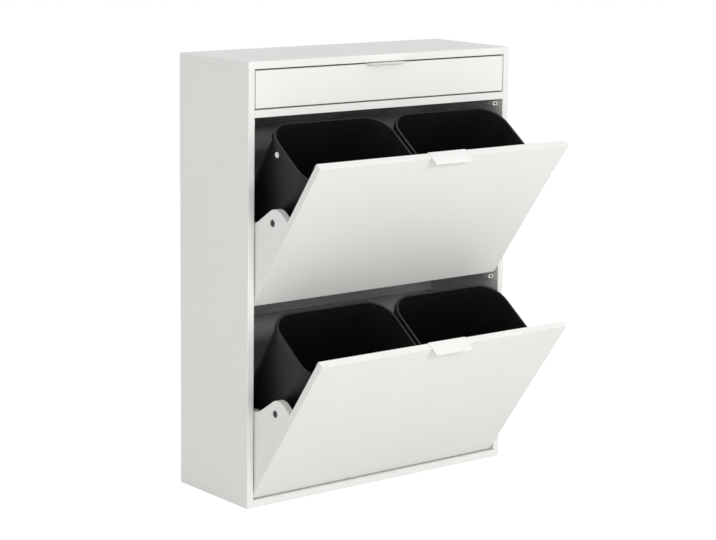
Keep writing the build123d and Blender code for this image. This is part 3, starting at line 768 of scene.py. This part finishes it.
@dataclass
class WingCams:
    """Cam fittings in a unit's wings: cast discs with a cross recess for the screwdriver.

    Attributes:
        level: Unit whose wings hold them.
        radius: Radius of a cam.
        thickness: Its length into the wing.
        edge: Rounding of its outer edge.
        dish: How far the face sinks towards its middle.
        arm: Length of the recess's arms from the middle.
        arm_half: Half width of an arm.
        arm_depth: Depth of the recess.
        soft: Width over which the recess's walls slope.
        turn: Angle of the cross in degrees.
        buried_pole: Radius of the cap in the middle of the buried end.
        face_pole: Radius of the cap in the middle of the face.
        steps: Segments round a cam.
        rings: Rings of points across its face.
    """

    level: Level
    radius: float = 7.5 * MM
    thickness: float = 12 * MM
    edge: float = 0.5 * MM
    dish: float = 0.5 * MM
    arm: float = 4.4 * MM
    arm_half: float = 0.8 * MM
    arm_depth: float = 2.2 * MM
    soft: float = 0.5 * MM
    turn: float = 24.0
    buried_pole: float = 0.4 * MM
    face_pole: float = 0.2 * MM
    steps: int = 72
    rings: int = 22

    @property
    def node(self) -> str:
        """Name of the CAD node these cams stand for."""
        return f"{self.level.value}_wing_cams"

    def recess(self, reach: np.ndarray, angle: np.ndarray) -> np.ndarray:
        """Depth of the face under its edge.

        A shallow dish, one minus the square of the reach over the radius, plus
        the cross: full depth where the nearer arm's axis is within half a width
        and the reach along it is under the arm's length, sloping off over soft.

        Args:
            reach: Distances from the middle.
            angle: Angles round it.

        Returns:
            Depths, positive into the cam.
        """
        turned = angle - radians(self.turn)
        along, across = np.abs(reach * np.cos(turned)), np.abs(reach * np.sin(turned))
        near, far = np.minimum(along, across), np.maximum(along, across)
        in_width = np.clip((self.arm_half + self.soft - near) / self.soft, 0, 1)
        in_length = np.clip((self.arm + self.soft - far) / self.soft, 0, 1)
        bowl = self.dish * (1 - (reach / self.radius) ** 2)
        return bowl + self.arm_depth * in_width * in_length

    def disc(self, axes: TiltedAxes, outer: float, into: int, depth: float, height: float) -> np.ndarray:
        """Grid of one cam: round the buried end, along the flank, over the edge, across the face.

        Args:
            axes: Axes of the unit.
            outer: x of the visible face.
            into: 1 if the cam goes from its face towards +X, -1 if towards -X.
            depth: Depth of the cam's centre.
            height: Height of the cam's centre.

        Returns:
            Array of shape (rings, steps, 3).
        """
        inner = outer + into * self.thickness
        face_radius = self.radius - 2 * self.edge
        corners = [
            (self.buried_pole, inner, 0.0),
            (self.radius, inner, self.edge),
            (self.radius, outer, self.edge),
            (face_radius, outer, 0.0),
        ]
        flank = rounded_path(corners)
        face = np.linspace(face_radius, self.face_pole, self.rings)
        reach = np.concatenate((flank[:-1, 0], face))[:, None]
        seat = np.concatenate((flank[:-1, 1], np.full(self.rings, outer)))[:, None]
        angle = np.linspace(0, 2 * pi, self.steps, endpoint=False)[None, :]
        sunk = np.zeros((len(reach), self.steps))
        sunk[-self.rings :] = self.recess(reach[-self.rings :], angle)
        return axes.place(seat + into * sunk, depth + reach * np.cos(angle), height + reach * np.sin(angle))

    def build(self, wardrobe: Wardrobe) -> list[bpy.types.Object]:
        """Make the four cams of the unit: two heights on each side.

        Args:
            wardrobe: Source of the material.

        Returns:
            The finished cams.
        """
        axes = TiltedAxes.of_unit(self.level)
        low, high = axes.extent(self.node)
        depth = (low[1] + high[1]) / 2
        pieces = []
        for side, outer, into in ((Side.LEFT, low[0], 1), (Side.RIGHT, high[0], -1)):
            for word, height in (("low", low[2] + self.radius), ("high", high[2] - self.radius)):
                points = self.disc(axes, outer, into, depth, height)
                piece = surface(f"{self.level.value}_{side.value}_{word}_cam", points)
                wardrobe.dress(piece, "zinc")
                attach(piece, f"{self.level.value}_unit")
                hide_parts(self.node)
                pieces.append(piece)
        return pieces


@dataclass
class Cabinet:
    """The whole cabinet: CAD boards and fittings in their finishes, and the detailed pieces.

    Attributes:
        wardrobe: Source of every material.
    """

    wardrobe: Wardrobe = field(default_factory=Wardrobe)

    def dress_nodes(self) -> None:
        """Give each CAD node the material of its slot in the record."""
        for entry in frame["record"]["subparts"]:
            self.wardrobe.dress(frame["nodes"][entry["node"]], entry["material_slot"])

    def build(self) -> list[bpy.types.Object]:
        """Build every detailed piece.

        Returns:
            The new pieces.
        """
        self.dress_nodes()
        pieces = [Pull("drawer_pull", "drawer", TiltedAxes.upright()).build(self.wardrobe)]
        for level in Level:
            axes = TiltedAxes.of_unit(level)
            pull = Pull(f"{level.value}_pull", f"{level.value}_unit", axes)
            pieces.append(pull.build(self.wardrobe))
            pieces += [Bin(level, side).build(self.wardrobe) for side in Side]
            pieces += WingCams(level).build(self.wardrobe)
        pieces.append(Plug().build(self.wardrobe))
        return pieces


# ---- Studio ------------------------------------------------------------------
@dataclass(frozen=True)
class Lamp:
    """Square soft box aimed at a point of the cabinet.

    Attributes:
        name: The lamp's name.
        place: Where its middle hangs.
        size: Length of its sides.
        watts: Radiant power.
        target: The point it faces.
    """

    name: str
    place: tuple[float, float, float]
    size: float
    watts: float
    target: tuple[float, float, float] = (0.0, 0.0, 0.45)

    def build(self) -> bpy.types.Object:
        """Hang the lamp and aim it."""
        data = bpy.data.lights.new(self.name, "AREA")
        data.size = self.size
        data.energy = self.watts
        lamp = bpy.data.objects.new(self.name, data)
        bpy.context.scene.collection.objects.link(lamp)
        lamp.location = self.place
        aim = Vector(self.target) - Vector(self.place)
        lamp.rotation_euler = aim.to_track_quat("-Z", "Y").to_euler()
        return lamp


@dataclass
class Studio:
    """White studio: floor, sky, soft boxes and the camera that took the photograph.

    The camera's place and angles were worked out from the straight edges of the
    cabinet in the photograph.

    Attributes:
        camera_place: Where the camera stands.
        yaw: Degrees from +Y towards +X.
        pitch: Degrees above the horizon.
        roll: Degrees about the view.
        focal_px: Focal length in pixels of the photograph.
        floor_size: Side of the floor.
        floor_colour: Colour of the floor as it lights the cabinet, sRGB hex.
        floor_glow: Light it adds where the camera sees it.
        sky_colour: Colour of the sky, sRGB hex.
        sky_strength: Strength of the sky overhead.
        horizon_strength: Strength of the sky at the horizon.
        horizon_band: Heights between which one blends into the other.
        lamps: The soft boxes.
    """

    camera_place: tuple[float, float, float] = (-2.7514, -3.4925, 1.2883)
    yaw: float = 38.56
    pitch: float = -10.864
    roll: float = 0.774
    focal_px: float = 2141.9
    floor_size: float = 7.0
    floor_colour: str = "#E8E8E8"
    floor_glow: float = 0.7
    sky_colour: str = "#FFFFFF"
    sky_strength: float = 0.8
    horizon_strength: float = 0.7
    horizon_band: tuple[float, float] = (-0.05, 0.5)
    lamps: tuple[Lamp, ...] = (
        Lamp("Key_softbox", (0.0, -4.0, 2.0), 0.6, 43.0, (0.0, -0.2, 0.6)),
        Lamp("Low_fill", (0.3, -2.4, 0.3), 1.6, 10.5),
        Lamp("Side_fill", (-3.2, -0.4, 1.2), 2.0, 5.6),
    )

    def seen_directly(self, tree: bpy.types.NodeTree) -> bpy.types.NodeSocket:
        """Socket that is 1 for what the camera sees and 0 for what lights the cabinet."""
        return add_node(tree, "ShaderNodeLightPath").outputs["Is Camera Ray"]

    def build_floor(self) -> bpy.types.Object:
        """Lay the floor: a pale sheet that glows to white where it is seen, and keeps shadows."""
        half = self.floor_size / 2
        corners = [(-half, -half, 0), (half, -half, 0), (half, half, 0), (-half, half, 0)]
        mesh = bpy.data.meshes.new("Studio_floor")
        mesh.from_pydata(corners, [], [(0, 1, 2, 3)])
        floor = bpy.data.objects.new("Studio_floor", mesh)
        bpy.context.scene.collection.objects.link(floor)
        material = bpy.data.materials.new("Studio_paper")
        tree = blank_tree(material)
        matt = add_node(tree, "ShaderNodeBsdfDiffuse", values={"Color": linear(self.floor_colour)})
        strength = add_node(
            tree,
            "ShaderNodeMath",
            operation="MULTIPLY",
            values={1: self.floor_glow},
            links={0: self.seen_directly(tree)},
        )
        glow = add_node(tree, "ShaderNodeEmission", links={"Strength": strength.outputs["Value"]})
        both = add_node(
            tree, "ShaderNodeAddShader", links={0: matt.outputs["BSDF"], 1: glow.outputs["Emission"]}
        )
        add_node(tree, "ShaderNodeOutputMaterial", links={"Surface": both.outputs["Shader"]})
        mesh.materials.append(material)
        return floor

    def build_sky(self) -> None:
        """Sky dome: bright overhead, dimmer at the horizon, and plain white where it is seen."""
        world = bpy.data.worlds.new("Studio_sky")
        bpy.context.scene.world = world
        tree = blank_tree(world)
        way = add_node(tree, "ShaderNodeTexCoord")
        height = add_node(tree, "ShaderNodeSeparateXYZ", links={"Vector": way.outputs["Generated"]})
        dome = add_node(
            tree,
            "ShaderNodeMapRange",
            interpolation_type="SMOOTHSTEP",
            values={
                "From Min": self.horizon_band[0],
                "From Max": self.horizon_band[1],
                "To Min": self.horizon_strength,
                "To Max": self.sky_strength,
            },
            links={"Value": height.outputs["Z"]},
        )
        strength = add_node(
            tree,
            "ShaderNodeMix",
            data_type="FLOAT",
            values={3: 1.0},
            links={0: self.seen_directly(tree), 2: dome.outputs["Result"]},
        )
        sky = add_node(
            tree,
            "ShaderNodeBackground",
            values={"Color": linear(self.sky_colour)},
            links={"Strength": strength.outputs[0]},
        )
        add_node(tree, "ShaderNodeOutputWorld", links={"Surface": sky.outputs["Background"]})

    def build_camera(self) -> bpy.types.Object:
        """Set the camera: yaw from +Y towards +X, then pitch, then roll about the view."""
        yaw, pitch, roll = (radians(angle) for angle in (self.yaw, self.pitch, self.roll))
        forward = Vector((sin(yaw) * cos(pitch), cos(yaw) * cos(pitch), sin(pitch)))
        level_right = forward.cross(Vector((0, 0, 1))).normalized()
        level_up = level_right.cross(forward)
        right = level_right * cos(roll) + level_up * sin(roll)
        up = level_up * cos(roll) - level_right * sin(roll)
        data = bpy.data.cameras.new("Photo_camera")
        data.sensor_width = SENSOR_WIDTH
        data.lens = self.focal_px / IMAGE_WIDTH * SENSOR_WIDTH
        camera = bpy.data.objects.new("Photo_camera", data)
        bpy.context.scene.collection.objects.link(camera)
        turn = Matrix((right, up, -forward)).transposed().to_4x4()
        camera.matrix_world = Matrix.Translation(self.camera_place) @ turn
        bpy.context.scene.camera = camera
        return camera

    def build(self) -> None:
        """Build the whole studio."""
        bpy.context.scene.view_settings.view_transform = "Standard"
        self.build_floor()
        self.build_sky()
        self.build_camera()
        for lamp in self.lamps:
            lamp.build()


def main() -> None:
    """Build the cabinet and its studio, and report each piece."""
    logging.basicConfig(level=logging.INFO, format="%(name)s: %(message)s")
    for piece in Cabinet().build():
        LOG.info("%s: %d faces", piece.name, len(piece.data.polygons))
    Studio().build()


if __name__ == "__main__":
    main()
